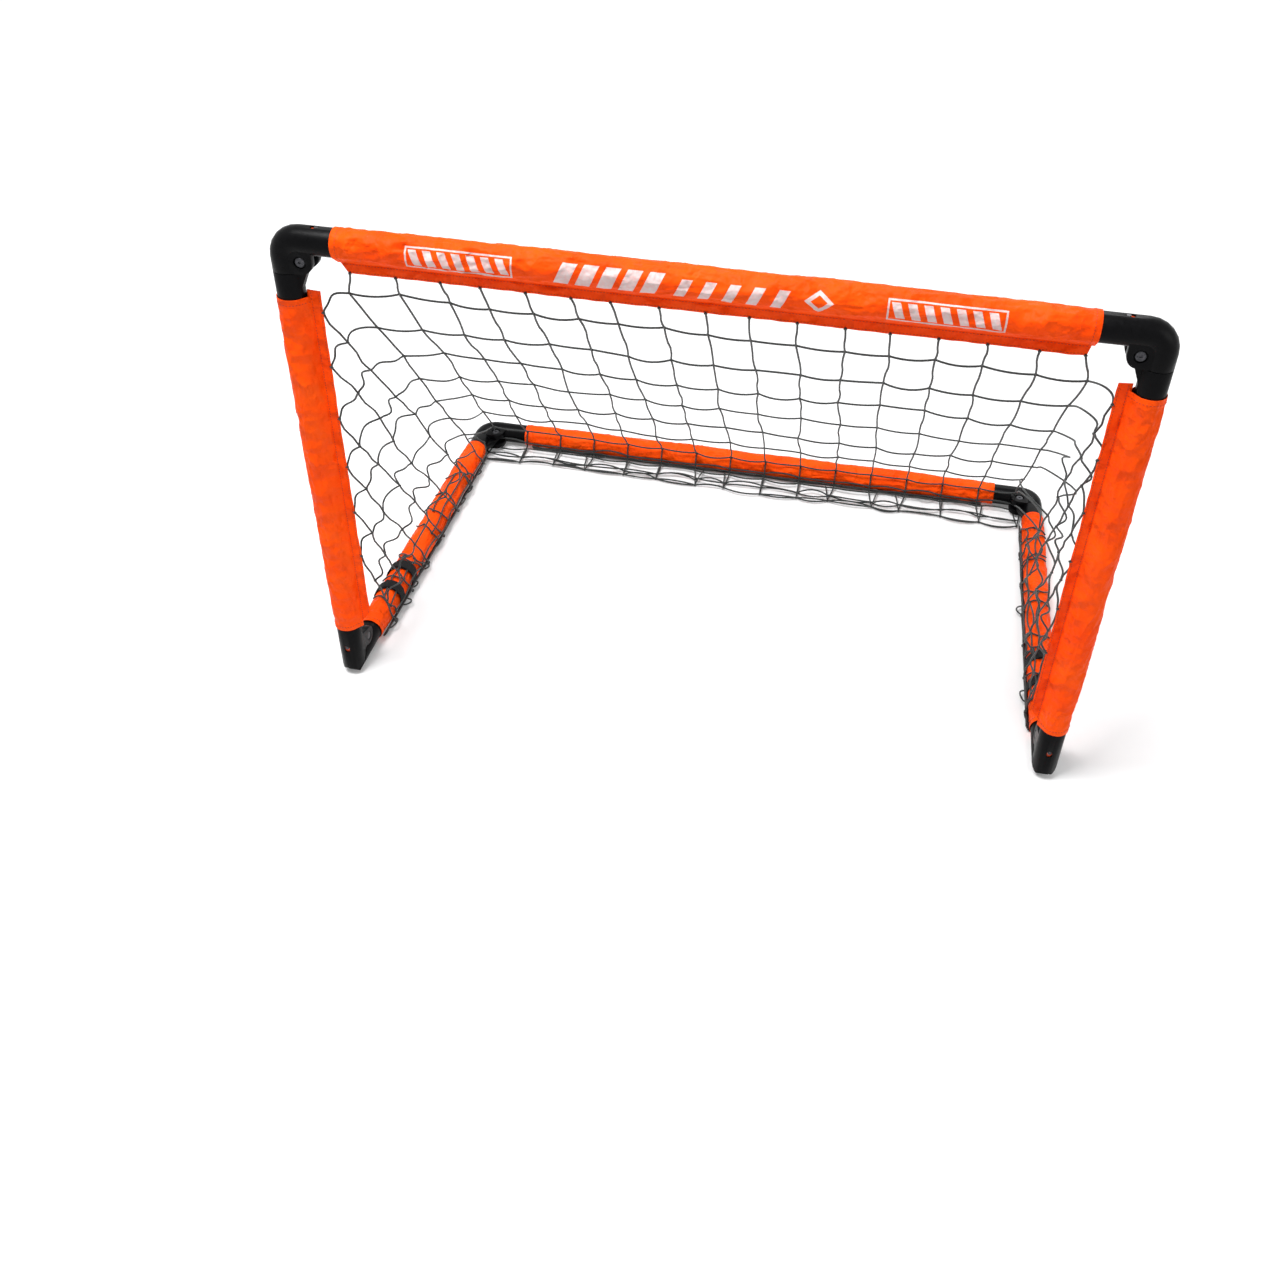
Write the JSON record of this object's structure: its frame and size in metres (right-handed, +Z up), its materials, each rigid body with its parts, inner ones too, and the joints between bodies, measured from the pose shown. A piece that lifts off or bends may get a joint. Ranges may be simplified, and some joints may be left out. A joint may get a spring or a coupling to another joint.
{
  "type": "folding soccer goal",
  "caption": "Portable goal with a front frame and a ground frame of sleeved steel tube, joined by folding plastic corners, and a net that slopes from the crossbar to the rear bar.",
  "frame": {"origin": "on the floor, in the middle of the frame's length and depth", "axes": "+X along the crossbar, -Y out of the goal mouth, +Z up"},
  "size_m": [1.2062, 0.7988, 0.8014],
  "materials": {
    "black_plastic": "moulded, semi-matt",
    "painted_steel": "orange powder coat",
    "orange_fabric": "woven polyester",
    "black_steel": "blackened",
    "black_webbing": "hook and loop tape",
    "dark_twine": "knotted twine"
  },
  "bodies": {
    "front_crossbar": {"crossbar_tube": "painted_steel", "crossbar_sleeve": "orange_fabric", "top_left_elbow": "black_plastic", "top_right_elbow": "black_plastic", "top_left_pivot_bolt": "black_steel", "top_right_pivot_bolt": "black_steel", "top_left_pivot_nut": "black_steel", "top_right_pivot_nut": "black_steel", "crossbar_left_screw": "black_steel", "crossbar_right_screw": "black_steel", "crossbar_flange": "orange_fabric", "net_back": "dark_twine"},
    "left_upright": {"left_upright_tube": "painted_steel", "left_upright_sleeve": "orange_fabric", "left_upright_socket": "black_plastic", "left_foot": "black_plastic", "left_hinge_screw_a": "black_steel", "left_hinge_screw_b": "black_steel", "left_foot_screw": "black_steel", "left_upright_screw": "black_steel", "left_upright_flange": "orange_fabric", "net_left": "dark_twine"},
    "right_upright": {"right_upright_tube": "painted_steel", "right_upright_sleeve": "orange_fabric", "right_upright_socket": "black_plastic", "right_foot": "black_plastic", "right_hinge_screw_a": "black_steel", "right_hinge_screw_b": "black_steel", "right_foot_screw": "black_steel", "right_upright_screw": "black_steel", "right_upright_flange": "orange_fabric", "net_right": "dark_twine"},
    "rear_bar": {"rear_bar_tube": "painted_steel", "rear_bar_sleeve": "orange_fabric", "rear_left_elbow": "black_plastic", "rear_right_elbow": "black_plastic", "rear_left_pivot_bolt": "black_steel", "rear_right_pivot_bolt": "black_steel", "rear_left_pivot_nut": "black_steel", "rear_right_pivot_nut": "black_steel", "rear_bar_left_screw": "black_steel", "rear_bar_right_screw": "black_steel"},
    "left_side_bar": {"left_side_tube": "painted_steel", "left_side_sleeve": "orange_fabric", "left_side_socket": "black_plastic", "left_side_hinge_end": "black_plastic", "left_strap_front": "black_webbing", "left_strap_rear": "black_webbing", "left_side_front_screw": "black_steel", "left_side_rear_screw": "black_steel"},
    "right_side_bar": {"right_side_tube": "painted_steel", "right_side_sleeve": "orange_fabric", "right_side_socket": "black_plastic", "right_side_hinge_end": "black_plastic", "right_strap_front": "black_webbing", "right_strap_rear": "black_webbing", "right_side_front_screw": "black_steel", "right_side_rear_screw": "black_steel"}
  },
  "joints": [
    {"name": "ground_frame_fold", "type": "hinge", "parent": "front_crossbar", "child": "rear_bar", "pos_m": [0, -0.35, 0.052], "axis": [1, 0, 0], "range_deg": [0, 90], "deforming": ["net_back", "net_left", "net_right"]},
    {"name": "left_arm_fold", "type": "hinge", "parent": "front_crossbar", "child": "left_upright", "pos_m": [-0.553, -0.378, 0.753], "axis": [0, -1, 0], "range_deg": [0, 90], "deforming": ["crossbar_flange", "left_upright_flange"]},
    {"name": "right_arm_fold", "type": "hinge", "parent": "front_crossbar", "child": "right_upright", "pos_m": [0.553, -0.378, 0.753], "axis": [0, 1, 0], "range_deg": [0, 80], "deforming": ["right_upright_flange"]},
    {"name": "left_rear_corner", "type": "hinge", "parent": "rear_bar", "child": "left_side_bar", "pos_m": [-0.553, 0.351, 0.024], "axis": [0, 0, 1], "range_deg": [0, 90]},
    {"name": "right_rear_corner", "type": "hinge", "parent": "rear_bar", "child": "right_side_bar", "pos_m": [0.553, 0.351, 0.024], "axis": [0, 0, -1], "range_deg": [0, 80]}
  ],
  "couplings": [
    {"joint": "left_rear_corner", "follows": "left_arm_fold", "ratio": 1},
    {"joint": "right_rear_corner", "follows": "right_arm_fold", "ratio": 1}
  ]
}
